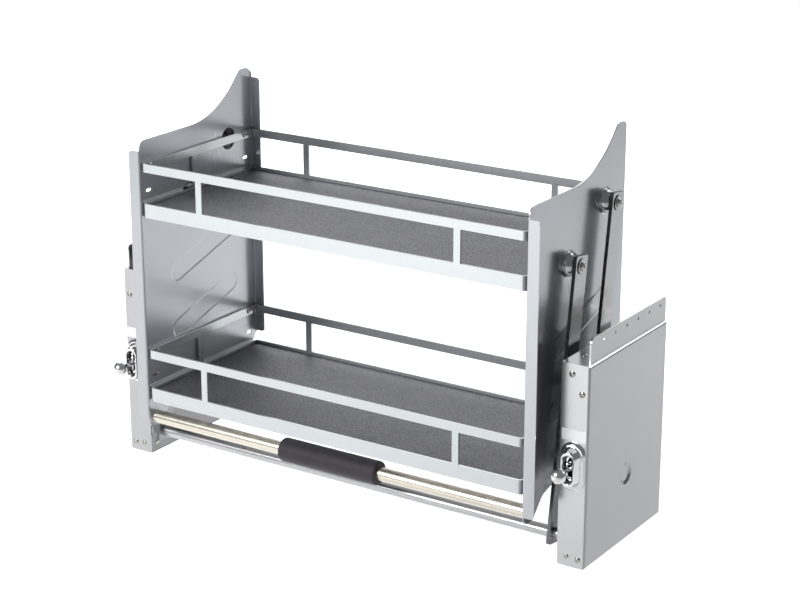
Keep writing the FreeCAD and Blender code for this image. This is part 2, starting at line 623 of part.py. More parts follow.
for node_name, shape in NODES.items():
    placed = shape.copy()
    placed.translate(V(0, -MID_Y, 0))
    placed.exportStep("parts/" + node_name + ".step")

box_all = None
for node_name, shape in NODES.items():
    bb = shape.BoundBox
    print("%-24s valid %-5s solids %d  vol %9.1f mm3  x %.1f %.1f y %.1f %.1f z %.1f %.1f" % (
        node_name, shape.isValid(), len(shape.Solids), shape.Volume,
        bb.XMin, bb.XMax, bb.YMin - MID_Y, bb.YMax - MID_Y, bb.ZMin, bb.ZMax))
    if box_all is None:
        box_all = FreeCAD.BoundBox(bb)
    else:
        box_all.add(bb)
print("nodes", len(NODES), "box", box_all.XLength, box_all.YLength, box_all.ZLength)
print("arm length %.2f lean %.3f mid_y %.3f" % (ARM_L, LEAN, MID_Y))
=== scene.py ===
import bpy, bmesh, json, math
from mathutils import Vector, Matrix


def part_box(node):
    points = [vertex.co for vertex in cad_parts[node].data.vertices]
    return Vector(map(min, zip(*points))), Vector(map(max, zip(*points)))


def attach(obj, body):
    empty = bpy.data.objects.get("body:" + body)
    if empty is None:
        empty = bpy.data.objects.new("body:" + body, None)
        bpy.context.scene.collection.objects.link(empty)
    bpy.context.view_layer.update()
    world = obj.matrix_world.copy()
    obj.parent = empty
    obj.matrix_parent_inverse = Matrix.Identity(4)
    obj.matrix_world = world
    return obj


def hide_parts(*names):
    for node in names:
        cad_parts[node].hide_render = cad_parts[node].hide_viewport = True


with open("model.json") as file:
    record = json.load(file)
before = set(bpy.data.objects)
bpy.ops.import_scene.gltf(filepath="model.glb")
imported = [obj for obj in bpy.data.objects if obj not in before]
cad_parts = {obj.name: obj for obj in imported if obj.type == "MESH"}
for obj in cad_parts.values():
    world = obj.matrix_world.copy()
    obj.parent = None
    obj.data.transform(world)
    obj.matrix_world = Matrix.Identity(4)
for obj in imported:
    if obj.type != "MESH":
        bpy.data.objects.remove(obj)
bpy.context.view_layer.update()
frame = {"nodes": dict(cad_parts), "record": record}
nodes = frame["nodes"]
scene = bpy.context.scene

MID_Y = 0.12555          # the working frame's Y = 0 plane lies this far in front of the origin


def at(x, y, z):
    """A point given in millimetres of the working frame (Y = 0 at the basket's front face)."""
    return Vector((x / 1000.0, y / 1000.0 - MID_Y, z / 1000.0))


# ------------------------------------------------------------------ node helpers
def new_mat(name):
    m = bpy.data.materials.new(name)
    m.use_nodes = True
    nt = m.node_tree
    nt.nodes.clear()
    out = nt.nodes.new("ShaderNodeOutputMaterial")
    bsdf = nt.nodes.new("ShaderNodeBsdfPrincipled")
    nt.links.new(bsdf.outputs["BSDF"], out.inputs["Surface"])
    return m, nt, bsdf


def coords(nt, scale=(1, 1, 1), rot=(0, 0, 0)):
    tc = nt.nodes.new("ShaderNodeTexCoord")
    mp = nt.nodes.new("ShaderNodeMapping")
    mp.inputs["Scale"].default_value = scale
    mp.inputs["Rotation"].default_value = rot
    nt.links.new(tc.outputs["Object"], mp.inputs["Vector"])
    return mp.outputs["Vector"]


def noise(nt, vec, scale, detail=3.0, rough=0.55, distort=0.0):
    n = nt.nodes.new("ShaderNodeTexNoise")
    n.inputs["Scale"].default_value = scale
    n.inputs["Detail"].default_value = detail
    n.inputs["Roughness"].default_value = rough
    n.inputs["Distortion"].default_value = distort
    nt.links.new(vec, n.inputs["Vector"])
    return n.outputs["Fac"]


def remap(nt, fac, lo, hi, a=0.0, b=1.0):
    r = nt.nodes.new("ShaderNodeMapRange")
    r.inputs["From Min"].default_value = a
    r.inputs["From Max"].default_value = b
    r.inputs["To Min"].default_value = lo
    r.inputs["To Max"].default_value = hi
    nt.links.new(fac, r.inputs["Value"])
    return r.outputs["Result"]


def math_node(nt, op, a, b):
    n = nt.nodes.new("ShaderNodeMath")
    n.operation = op
    for i, v in enumerate((a, b)):
        if isinstance(v, (int, float)):
            n.inputs[i].default_value = v
        else:
            nt.links.new(v, n.inputs[i])
    return n.outputs["Value"]


def ramp(nt, fac, stops):
    r = nt.nodes.new("ShaderNodeValToRGB")
    el = r.color_ramp.elements
    while len(el) < len(stops):
        el.new(0.5)
    for e, (p, c) in zip(el, stops):
        e.position = p
        e.color = (*c, 1.0)
    nt.links.new(fac, r.inputs["Fac"])
    return r.outputs["Color"]


def mix_color(nt, fac, a, b):
    n = nt.nodes.new("ShaderNodeMix")
    n.data_type = "RGBA"
    for sock, v in ((n.inputs["Factor"], fac), (n.inputs["A"], a), (n.inputs["B"], b)):
        if isinstance(v, (int, float)):
            sock.default_value = v
        elif isinstance(v, tuple):
            sock.default_value = (*v, 1.0)
        else:
            nt.links.new(v, sock)
    return n.outputs["Result"]


def bump(nt, bsdf, height, strength, distance):
    b = nt.nodes.new("ShaderNodeBump")
    b.inputs["Strength"].default_value = strength
    b.inputs["Distance"].default_value = distance
    nt.links.new(height, b.inputs["Height"])
    nt.links.new(b.outputs["Normal"], bsdf.inputs["Normal"])
    return b


def edge_mask(nt, lo=0.52, hi=0.60):
    """Bright where the mesh is convex: rubbed edges."""
    g = nt.nodes.new("ShaderNodeNewGeometry")
    return remap(nt, g.outputs["Pointiness"], 0.0, 1.0, lo, hi)


def metal(name, color, rough, grain=(1, 1, 1), grain_amt=0.05, tint=0.04, blotch=0.05,
          bump_amt=0.0, aniso=0.0, edge=0.0, fleck=0.82, sawn_dull_and_shade=0.0,
          broad_face_light_shade=1.0, top_face_shade=0.0, fold_shade=0.0, metallic=1.0):
    """Sheet or bar metal: stretched fine grain and slow cloudiness in the roughness, a little
    drift of colour, and edges that shine a little more. The sawn-edge amount dulls the sawn faces of a
    bar whose wide faces look along x and paints shade on them; the wide-face amount paints light or shade on
    the faces that look along x; the top amount paints shade on faces that look up, the fold amount on the upright folds
    between x and y."""
    m, nt, b = new_mat(name)
    b.inputs["Metallic"].default_value = metallic
    fine = noise(nt, coords(nt, grain), 900.0, 2.0, 0.5)
    slow = noise(nt, coords(nt, (1, 1, 1)), 9.0, 3.0, 0.55, 0.4)
    specks = noise(nt, coords(nt, (1, 1, 1)), 2600.0, 1.0, 0.5)
    r1 = remap(nt, fine, -grain_amt, grain_amt, 0.25, 0.75)
    r2 = remap(nt, slow, -blotch, blotch, 0.3, 0.7)
    r = math_node(nt, "ADD", math_node(nt, "ADD", r1, r2), rough)
    if edge:
        r = math_node(nt, "SUBTRACT", r, math_node(nt, "MULTIPLY", edge_mask(nt), edge))
    sawn = None
    if sawn_dull_and_shade:
        tc = nt.nodes.new("ShaderNodeTexCoord")
        sep = nt.nodes.new("ShaderNodeSeparateXYZ")
        nt.links.new(tc.outputs["Normal"], sep.inputs["Vector"])
        sawn = remap(nt, math_node(nt, "ABSOLUTE", sep.outputs["X"], 0.0), 1.0, 0.0, 0.35, 0.85)
        r = math_node(nt, "ADD", r, math_node(nt, "MULTIPLY", sawn, 0.08))
    nt.links.new(r, b.inputs["Roughness"])
    dark = tuple(c * (1.0 - tint) for c in color)
    light = tuple(min(1.0, c * (1.0 + tint)) for c in color)
    c1 = mix_color(nt, remap(nt, slow, 0.0, 1.0, 0.3, 0.7), dark, light)
    c2 = mix_color(nt, remap(nt, specks, 0.0, 0.12, 0.45, 0.75), c1, tuple(c * fleck for c in color))
    # Painted shade: faces that look up are darkened.
    if top_face_shade:
        tc = nt.nodes.new("ShaderNodeTexCoord")
        sep = nt.nodes.new("ShaderNodeSeparateXYZ")
        nt.links.new(tc.outputs["Normal"], sep.inputs["Vector"])
        up = remap(nt, sep.outputs["Z"], 0.0, 1.0, 0.45, 0.9)
        c2 = mix_color(nt, up, c2, tuple(c * (1.0 - top_face_shade) for c in color))
    # Painted shade: the upright folds between faces looking along x and along y are darkened, standing in for a dark
    # reflection.
    if fold_shade:
        tc = nt.nodes.new("ShaderNodeTexCoord")
        sep = nt.nodes.new("ShaderNodeSeparateXYZ")
        nt.links.new(tc.outputs["Normal"], sep.inputs["Vector"])
        across = math_node(nt, "MULTIPLY", sep.outputs["X"], sep.outputs["Y"])
        fold = remap(nt, math_node(nt, "ABSOLUTE", across, 0.0), 0.0, 1.0, 0.12, 0.45)
        c2 = mix_color(nt, fold, c2, tuple(c * (1.0 - fold_shade) for c in color))
    # Painted light or shade: faces that look along x are scaled in colour, darker below 1 and lighter above 1.
    if broad_face_light_shade != 1.0:
        tc = nt.nodes.new("ShaderNodeTexCoord")
        sep = nt.nodes.new("ShaderNodeSeparateXYZ")
        nt.links.new(tc.outputs["Normal"], sep.inputs["Vector"])
        face = remap(nt, math_node(nt, "ABSOLUTE", sep.outputs["X"], 0.0), 0.0, 1.0, 0.3, 0.9)
        c2 = mix_color(nt, face, c2, tuple(c * broad_face_light_shade for c in color))
    # Painted shade: the sawn faces are darkened in colour; the roughness added above is their own dullness.
    if sawn is not None:
        c2 = mix_color(nt, sawn, c2, tuple(c * (1.0 - sawn_dull_and_shade) for c in color))
    nt.links.new(c2, b.inputs["Base Color"])
    if aniso:
        b.inputs["Anisotropic"].default_value = aniso
    if bump_amt:
        h = math_node(nt, "ADD", math_node(nt, "MULTIPLY", fine, 0.6), math_node(nt, "MULTIPLY", slow, 3.0))
        bump(nt, b, h, bump_amt, 0.00004)
    return m


# ------------------------------------------------------------------ materials
M = {}
# Painted shade on the side faces (looking along x) and on the upright folds.
M["casing"] = metal("casing_satin_steel", (0.60, 0.60, 0.605), 0.23, grain=(1, 1, 0.03), grain_amt=0.012,
                    blotch=0.01, bump_amt=0.015, tint=0.01, fleck=0.95, broad_face_light_shade=0.62, fold_shade=0.35)
# A darker copy of the casing steel for the left casing: painted shade, on top of the same painted shade on side faces
# and folds.
M["casing_left"] = metal("casing_satin_steel_painted_shade", (0.475, 0.475, 0.48), 0.23, grain=(1, 1, 0.03),
                         grain_amt=0.012, blotch=0.01, bump_amt=0.015, tint=0.01, fleck=0.95, broad_face_light_shade=0.62,
                         fold_shade=0.35)
# The inner plate is the casing sheet painted darker: painted shade.
M["plate"] = metal("inner_plate_steel_painted_shade", (0.30, 0.30, 0.305), 0.36, grain=(1, 1, 0.03), grain_amt=0.04,
                   blotch=0.03, bump_amt=0.08)
# Painted shade on the faces that look along x and on the faces that look up.
M["panel"] = metal("panel_satin_steel", (0.507, 0.525, 0.547), 0.22, grain=(1, 1, 0.05), grain_amt=0.015,
                   blotch=0.015, bump_amt=0.015, tint=0.015, fleck=0.93, broad_face_light_shade=0.80, top_face_shade=0.45,
                   metallic=0.80)
# A copy of the panel steel for the left panel: painted light on its faces that look along x, with a lower metallic
# value; faces that look up keep painted shade.
M["panel_left"] = metal("panel_satin_steel_painted_light", (0.479, 0.4975, 0.518), 0.25, grain=(1, 1, 0.05),
                        grain_amt=0.015, blotch=0.015, bump_amt=0.015, tint=0.015, fleck=0.93, broad_face_light_shade=1.19,
                        top_face_shade=0.45, metallic=0.65)
# Painted shade on the faces that look up and on the rounded upright corners.
M["tray"] = metal("tray_polished_bar", (0.595, 0.622, 0.636), 0.21, grain=(0.05, 0.05, 1), grain_amt=0.02,
                  blotch=0.02, bump_amt=0.03, tint=0.02, top_face_shade=0.5,
                  fold_shade=0.5, metallic=0.82)
M["base"] = metal("tray_base_sheet", (0.42, 0.425, 0.435), 0.32, grain=(0.04, 1, 1), blotch=0.05, bump_amt=0.08)
# The arms' sawn edge faces are dulled and carry painted shade.
M["arm"] = metal("arm_plated_bar", (0.335, 0.335, 0.343), 0.20, grain=(1, 1, 0.04), grain_amt=0.02, blotch=0.02,
                 bump_amt=0.02, sawn_dull_and_shade=0.55)
M["chrome"] = metal("pivot_chrome", (0.50, 0.50, 0.51), 0.20, grain_amt=0.01, blotch=0.015)
M["switch"] = metal("switch_chrome", (0.75, 0.75, 0.76), 0.09, grain_amt=0.005, blotch=0.01)
M["ball"] = metal("ball_satin_chrome", (0.80, 0.79, 0.79), 0.25, grain_amt=0.01, blotch=0.03)
M["sync"] = metal("sync_tube_steel", (0.53, 0.53, 0.54), 0.29, grain=(0.03, 1, 1), grain_amt=0.03, blotch=0.02,
                  bump_amt=0.03)
M["handle"] = metal("handle_champagne", (0.74, 0.69, 0.60), 0.27, grain=(0.03, 1, 1), grain_amt=0.02,
                    blotch=0.02, bump_amt=0.03)
M["screw"] = metal("screw_nickel", (0.50, 0.485, 0.455), 0.22, grain_amt=0.03, blotch=0.06, tint=0.10)
M["plated"] = metal("zinc_plated_steel", (0.58, 0.58, 0.57), 0.30, grain_amt=0.05, blotch=0.08, tint=0.06)
M["spring"] = metal("spring_wire", (0.33, 0.33, 0.34), 0.30, grain_amt=0.05, blotch=0.06)


def plastic(name, color, rough, tex=1200.0, amt=0.15, spec=0.5):
    m, nt, b = new_mat(name)
    v = coords(nt)
    n1 = noise(nt, v, tex, 2.0)
    n2 = noise(nt, v, 18.0, 3.0)
    c = mix_color(nt, remap(nt, n2, 0.0, 1.0, 0.3, 0.7), tuple(x * 0.88 for x in color), tuple(min(1, x * 1.12) for x in color))
    nt.links.new(c, b.inputs["Base Color"])
    nt.links.new(math_node(nt, "ADD", remap(nt, n1, -0.08, 0.08, 0.3, 0.7), rough), b.inputs["Roughness"])
    b.inputs["Specular IOR Level"].default_value = spec
    bump(nt, b, n1, amt, 0.00008)
    return m


M["bush"] = plastic("bush_acetal", (0.72, 0.71, 0.68), 0.42, 900.0, 0.1)
M["damper"] = plastic("damper_moulding", (0.03, 0.03, 0.033), 0.45, 1400.0, 0.3)
M["buffer"] = plastic("buffer_rubber", (0.022, 0.022, 0.022), 0.62, 1500.0, 0.3, 0.35)


def mat_material():
    """Non-slip mat: dark grey with a fine pebbled grain."""
    m, nt, b = new_mat("tray_mat_grain")
    v = coords(nt)
    vor = nt.nodes.new("ShaderNodeTexVoronoi")
    vor.inputs["Scale"].default_value = 420.0
    vor.inputs["Randomness"].default_value = 0.55
    nt.links.new(v, vor.inputs["Vector"])
    cell = remap(nt, vor.outputs["Distance"], 1.0, 0.0, 0.05, 0.55)
    cloud = noise(nt, v, 14.0, 4.0, 0.6, 0.6)
    dust = noise(nt, v, 420.0, 2.0, 0.6)
    tone = math_node(nt, "ADD", math_node(nt, "MULTIPLY", cell, 0.62), math_node(nt, "MULTIPLY", dust, 0.38))
    c = ramp(nt, tone, [(0.22, (0.040, 0.040, 0.049)), (0.5, (0.098, 0.097, 0.110)), (0.78, (0.185, 0.184, 0.203))])
    c = mix_color(nt, remap(nt, cloud, 0.0, 0.35, 0.35, 0.7), c, (0.112, 0.111, 0.124))
    nt.links.new(c, b.inputs["Base Color"])
    nt.links.new(remap(nt, cell, 0.60, 0.46), b.inputs["Roughness"])
    b.inputs["Specular IOR Level"].default_value = 0.34
    h = math_node(nt, "ADD", math_node(nt, "MULTIPLY", cell, 1.0), math_node(nt, "MULTIPLY", dust, 0.4))
    bump(nt, b, h, 0.5, 0.00022)
    return m


M["mat"] = mat_material()


def foam_material():
    m, nt, b = new_mat("grip_foam_rubber")
    v = coords(nt)
    vor = nt.nodes.new("ShaderNodeTexVoronoi")
    vor.inputs["Scale"].default_value = 900.0
    nt.links.new(v, vor.inputs["Vector"])
    pores = remap(nt, vor.outputs["Distance"], 0.0, 1.0, 0.05, 0.5)
    cloud = noise(nt, v, 30.0, 4.0, 0.6)
    c = mix_color(nt, remap(nt, cloud, 0.0, 1.0, 0.3, 0.7), (0.021, 0.0185, 0.0235), (0.043, 0.038, 0.047))
    nt.links.new(c, b.inputs["Base Color"])
    nt.links.new(remap(nt, cloud, 0.55, 0.70, 0.3, 0.7), b.inputs["Roughness"])
    b.inputs["Specular IOR Level"].default_value = 0.4
    b.inputs["Sheen Weight"].default_value = 0.12
    b.inputs["Sheen Roughness"].default_value = 0.5
    h = math_node(nt, "ADD", math_node(nt, "MULTIPLY", pores, 0.8), math_node(nt, "MULTIPLY", cloud, 1.2))
    bump(nt, b, h, 0.35, 0.0002)
    return m


M["foam"] = foam_material()


def label_material():
    m, nt, b = new_mat("bare_label_film")
    v = coords(nt)
    n = noise(nt, v, 60.0, 3.0)
    c = mix_color(nt, remap(nt, n, 0.0, 1.0, 0.3, 0.7), (0.90, 0.90, 0.90), (0.94, 0.94, 0.935))
    nt.links.new(c, b.inputs["Base Color"])
    nt.links.new(remap(nt, n, 0.30, 0.40, 0.3, 0.7), b.inputs["Roughness"])
    bump(nt, b, noise(nt, v, 500.0, 2.0), 0.1, 0.00004)
    return m


M["label"] = label_material()

SLOT_MAT = {
    "casing_sheet": "casing", "panel_sheet": "panel", "tray_steel": "tray", "base_sheet": "base",
    "tray_mat": "mat", "arm_steel": "arm", "pivot_chrome": "chrome", "switch_chrome": "switch",
    "sync_tube_steel": "sync", "handle_aluminium": "handle", "grip_foam": "foam",
    "buffer_rubber": "buffer", "screws": "screw", "plated_steel": "plated", "spring_wire": "spring",
    "bush_plastic": "bush", "damper_plastic": "damper",
}
slot_of = {s["node"]: s["material_slot"] for s in frame["record"]["subparts"]}


def smooth(obj, angle=32.0):
    """Smooth shading between faces that meet at less than the angle."""
    me = obj.data
    me.polygons.foreach_set("use_smooth", [True] * len(me.polygons))
    me.set_sharp_from_angle(angle=math.radians(angle))
    me.update()


def weighted(obj):
    """Flat faces keep their flat shading next to rounded edges."""
    wn = obj.modifiers.new("flat_faces", "WEIGHTED_NORMAL")
    wn.mode = "FACE_AREA"
    wn.weight = 50
    wn.keep_sharp = True


BEVEL = {
    "outer_casing": 0.30, "inner_plate": 0.3, "front_arm": 0.8, "rear_arm": 0.8,
    "tray_rail": 0.4, "tray_band": 0.4, "tray_posts": 0.4, "spring_crank": 0.4, "rotary_damper": 0.4,
}

for name, obj in nodes.items():
    obj.data.materials.clear()
    key = SLOT_MAT[slot_of[name]]
    if name.endswith("switch_ball"):
        key = "ball"
    # The inner plate takes the darker copy of the casing steel: painted shade.
    elif name.endswith("inner_plate"):
        key = "plate"
    # The left side panel takes the panel copy with painted light, the left outer casing the casing copy with painted
    # shade.
    elif name in ("left_side_panel", "left_outer_casing"):
        key += "_left"
    obj.data.materials.append(M[key])
    smooth(obj)
    for tail, width in BEVEL.items():
        if name.endswith(tail):
            bv = obj.modifiers.new("eased_edges", "BEVEL")
            bv.width = width / 1000.0
            bv.segments = 2
            bv.limit_method = "ANGLE"
            bv.angle_limit = math.radians(50)
            bv.use_clamp_overlap = True
            break
    weighted(obj)


# ------------------------------------------------------------------ shape helpers (all in millimetres)
def eased(points, closed=True, n=5):
    """Corners (a, b, radius) turned into a line of points with rounded corners."""
    out = []
    k = len(points)
    for i, (x, y, r) in enumerate(points):
        if r <= 0 or (not closed and i in (0, k - 1)):
            out.append((x, y))
            continue
        ax, ay, _ = points[i - 1]
        bx, by, _ = points[(i + 1) % k]
        ux, uy, wx, wy = ax - x, ay - y, bx - x, by - y
        lu, lw = math.hypot(ux, uy), math.hypot(wx, wy)
        ux, uy, wx, wy = ux / lu, uy / lu, wx / lw, wy / lw
        half = math.acos(max(-1.0, min(1.0, ux * wx + uy * wy))) / 2.0
        if half > 1.553:
            out.append((x, y))
            continue
        t = r / math.tan(half)
        lm = math.hypot(ux + wx, uy + wy)
        reach = r / math.sin(half)
        cx, cy = x + (ux + wx) / lm * reach, y + (uy + wy) / lm * reach
        a0 = math.atan2(y + uy * t - cy, x + ux * t - cx)
        a1 = math.atan2(y + wy * t - cy, x + wx * t - cx)
        d = (a1 - a0 + math.pi) % (2 * math.pi) - math.pi
        for j in range(n + 1):
            a = a0 + d * j / n
            out.append((cx + r * math.cos(a), cy + r * math.sin(a)))
    return out


class Geo:
    """Gathers vertices and faces of one piece."""

    def __init__(self):
        self.v, self.f = [], []

    def add(self, verts, faces):
        n = len(self.v)
        self.v.extend(verts)
        self.f.extend([tuple(i + n for i in f) for f in faces])

    def rings(self, rings, closed=False, caps=True):
        m, k = len(rings[0]), len(rings)
        faces = []
        for i in range(k if closed else k - 1):
            a, b = i * m, ((i + 1) % k) * m
            for j in range(m):
                jn = (j + 1) % m
                faces.append((a + j, a + jn, b + jn, b + j))
        if caps and not closed:
            faces.append(tuple(range(m - 1, -1, -1)))
            faces.append(tuple((k - 1) * m + j for j in range(m)))
        self.add([p for r in rings for p in r], faces)

    def lathe(self, axis, centre, profile, segs=64, closed=False):
        """profile: (distance along the axis from the centre, radius)."""
        cx, cy, cz = centre
        rings = []
        for t, r in profile:
            r = max(r, 0.05)
            ring = []
            for j in range(segs):
                a = 2 * math.pi * j / segs
                c, s = r * math.cos(a), r * math.sin(a)
                if axis == "x":
                    ring.append((cx + t, cy + c, cz + s))
                elif axis == "y":
                    ring.append((cx + s, cy + t, cz + c))
                else:
                    ring.append((cx + c, cy + s, cz + t))
            rings.append(ring)
        self.rings(rings, closed)

    def box(self, x0, x1, y0, y1, z0, z1):
        v = [(x, y, z) for z in (z0, z1) for y in (y0, y1) for x in (x0, x1)]
        self.add(v, [(0, 1, 3, 2), (4, 6, 7, 5), (0, 4, 5, 1), (2, 3, 7, 6), (0, 2, 6, 4), (1, 5, 7, 3)])

    def sweep(self, path, radius, segs=8):
        """Round wire along a line of points."""
        pts = [Vector(p) for p in path]
        n = len(pts)
        tang = [(pts[min(i + 1, n - 1)] - pts[max(i - 1, 0)]).normalized() for i in range(n)]
        side = tang[0].orthogonal().normalized()
        rings = []
        for i in range(n):
            side = (side - tang[i] * side.dot(tang[i])).normalized()
            up = tang[i].cross(side)
            rings.append([tuple(pts[i] + side * (radius * math.cos(2 * math.pi * j / segs))
                                + up * (radius * math.sin(2 * math.pi * j / segs))) for j in range(segs)])
        self.rings(rings)

    def moved(self, sx, ox, oy, oz):
        """Mirrored in x where sx is -1, then shifted."""
        self.v = [(sx * x + ox, y + oy, z + oz) for x, y, z in self.v]
        return self


def piece(name, geo, material, body, replaced=(), angle=34.0, bevel=0.0):
    me = bpy.data.meshes.new(name)
    me.from_pydata([at(*p) for p in geo.v], [], geo.f)
    bm = bmesh.new()
    bm.from_mesh(me)
    bmesh.ops.recalc_face_normals(bm, faces=bm.faces)
    bm.to_mesh(me)
    bm.free()
    me.update()
    ob = bpy.data.objects.new(name, me)
    scene.collection.objects.link(ob)
    me.materials.append(material)
    smooth(ob, angle)
    if bevel:
        bv = ob.modifiers.new("eased_edges", "BEVEL")
        bv.width = bevel / 1000.0
        bv.segments = 2
        bv.limit_method = "ANGLE"
        bv.angle_limit = math.radians(50)
    weighted(ob)
    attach(ob, body)
    if replaced:
        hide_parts(*replaced)
    return ob


def cross_head(r, h, deep=0.55):
    """Domed screw head with a cross recess, base at the origin, standing along +x."""
    g = Geo()
    prof = [(0.0, r * 0.90), (0.0, r * 0.97), (h * 0.05, r)]
    for k in range(11):
        a = math.radians(90.0 * k / 10)
        prof.append((h * 0.16 + h * 0.84 * math.sin(a), r * math.cos(a) ** 0.72 if k < 10 else 0.2))
    g.lathe("x", (0, 0, 0), prof, 48)
    base = bpy.data.meshes.new("head_blank")
    base.from_pydata([Vector(p) for p in g.v], [], g.f)
    cut = Geo()
    rings = []
    for x, k in ((h * 1.3, 1.15), (h * (1.0 - deep), 0.55)):
        a, b = r * 0.60 * k, r * 0.135 * (0.55 + 0.45 * k)
        rings.append([(x, y, z) for y, z in (
            (a, -b), (a, b), (b, b), (b, a), (-b, a), (-b, b), (-a, b), (-a, -b), (-b, -b), (-b, -a), (b, -a), (b, -b))])
    cut.rings(rings)
    tool = bpy.data.meshes.new("cross_tool")
    tool.from_pydata([Vector(p) for p in cut.v], [], cut.f)
    obs = []
    for me in (base, tool):
        bm = bmesh.new()
        bm.from_mesh(me)
        bmesh.ops.recalc_face_normals(bm, faces=bm.faces)
        bm.to_mesh(me)
        bm.free()
        ob = bpy.data.objects.new(me.name, me)
        scene.collection.objects.link(ob)
        obs.append(ob)
    md = obs[0].modifiers.new("cut", "BOOLEAN")
    md.operation = "DIFFERENCE"
    md.solver = "EXACT"
    md.object = obs[1]
    dg = bpy.context.evaluated_depsgraph_get()
    res = bpy.data.meshes.new_from_object(obs[0].evaluated_get(dg))
    verts = [tuple(v.co) for v in res.vertices]
    faces = [tuple(p.vertices) for p in res.polygons]
    for ob in obs:
        bpy.data.objects.remove(ob)
    for me in (base, tool, res):
        bpy.data.meshes.remove(me)
    return verts, faces


HEADS = {}


def screw_head(geo, axis, sign, x, y, z, r, h, turn=20.0):
    """Adds a cross head at (x, y, z), standing along sign * axis, its cross turned."""
    key = (r, h)
    if key not in HEADS:
        HEADS[key] = cross_head(r, h)
    verts, faces = HEADS[key]
    c, s = math.cos(math.radians(turn)), math.sin(math.radians(turn))
    out = []
    for t, p, q in verts:
        p, q = p * c - q * s, p * s + q * c
        if axis == "x":
            out.append((x + sign * t, y + p, z + q))
        elif axis == "y":
            out.append((x + p, y + sign * t, z + q))
        else:
            out.append((x + p, y + q, z + sign * t))
    geo.add(out, faces)


# ------------------------------------------------------------------ sizes shared with the CAD
HALF, CASE_IN, CASE_H = 382.0, 341.5, 280.0
PANEL_IN, PANEL_T = 310.0, 1.5
ARM_X0, ARM_X1 = 325.5, 330.5
LOW_FRONT, LOW_REAR = (55.0, 35.0), (150.5, 97.0)
UP_FRONT, UP_REAR = (106.5, 386.5), (202.0, 448.5)
TRAY_HALF, BAR_T = 308.5, 3.0
TRAY_Z = {"lower": 102.0, "upper": 376.5}
SIDES = (("right", 1), ("left", -1))
TURNS = (12, 47, 75, 31, 58, 5, 66, 23, 39, 81)

# ------------------------------------------------------------------ pivots of the basket
for side, sg in SIDES:
    for which, (py, pz) in (("front", UP_FRONT), ("rear", UP_REAR)):
        g = Geo()
        end = ARM_X0 - 0.4 - (PANEL_IN + PANEL_T)
        # thin flush rim, a short fillet, then a bell that closes to the bolt
        prof = [(0.0, 18.3), (0.2, 18.3), (0.32, 18.1), (0.4, 17.6), (0.55, 17.1), (0.85, 16.6), (1.2, 16.3)]
        for k in range(1, 33):
            u = k / 32.0
            prof.append((1.2 + (end - 1.2) * u, 16.3 - 6.1 * u ** 1.5))
        prof += eased([(end, 10.2, 0.0), (end, 5.0, 0.3), (end - 1.8, 5.0, 0.3), (end - 1.8, 8.8, 0.8),
                       (0.0, 15.9, 0.2)], closed=False, n=7)[1:]
        g.lathe("x", (PANEL_IN + PANEL_T, py, pz), prof, 96, closed=True)
        g.moved(sg, 0, 0, 0)
        piece("%s_%s_pivot_cup_pressed" % (side, which), g, M["chrome"], "basket",
              ("%s_%s_pivot_cup" % (side, which),))
        g = Geo()
        x = ARM_X1 + 0.4
        w = Geo()
        w.lathe("x", (x, py, pz), eased([(0.0, 10.5, 0.25), (1.0, 10.5, 0.45), (1.0, 5.0, 0.0), (0.0, 5.0, 0.0)]),
                64, closed=True)
        piece("%s_%s_pivot_washer" % (side, which), w.moved(sg, 0, 0, 0), M["arm"], "basket",
              ("%s_%s_pivot_bolt" % (side, which),))
        g.lathe("x", (x + 1.0, py, pz), eased([(0.0, 7.2, 0.2), (0.45, 7.0, 0.25), (0.45, 3.0, 0), (0.0, 3.0, 0)]),
                64, closed=True)
        screw_head(g, "x", 1, x + 1.4, py, pz, 6.0, 2.8, 35 if which == "front" else 62)
        inner = ARM_X0 - 0.4
        g.lathe("x", (inner - 9.5, py, pz), eased([(0.0, 3.4, 0.4), (0.6, 4.0, 0.2), (7.5, 4.0, 0.0), (7.5, 5.0, 0),
                                                  (x - inner + 10.5, 5.0, 0)], closed=False), 48)
        hexa = []
        for t, k in ((0.0, 0.94), (0.7, 1.0), (5.8, 1.0), (6.5, 0.94)):
            hexa.append([(inner - 8.5 + t, py + 7.4 * k * math.cos(math.radians(60 * j)),
                          pz + 7.4 * k * math.sin(math.radians(60 * j))) for j in range(6)])
        g.rings(hexa)
        g.moved(sg, 0, 0, 0)
        piece("%s_%s_pivot_bolt_domed" % (side, which), g, M["screw"], "basket",
              ("%s_%s_pivot_bolt" % (side, which),))

# ------------------------------------------------------------------ switches
SWX, SWZ = 361.5, 141.0


def stadium(y, r, half, n=22):
    pts = []
    for k in range(n + 1):
        a = math.pi * k / n
        pts.append((SWX + r * math.cos(a), y, SWZ + half + r * math.sin(a)))
    for k in range(n + 1):
        a = math.pi + math.pi * k / n
        pts.append((SWX + r * math.cos(a), y, SWZ - half + r * math.sin(a)))
    return pts


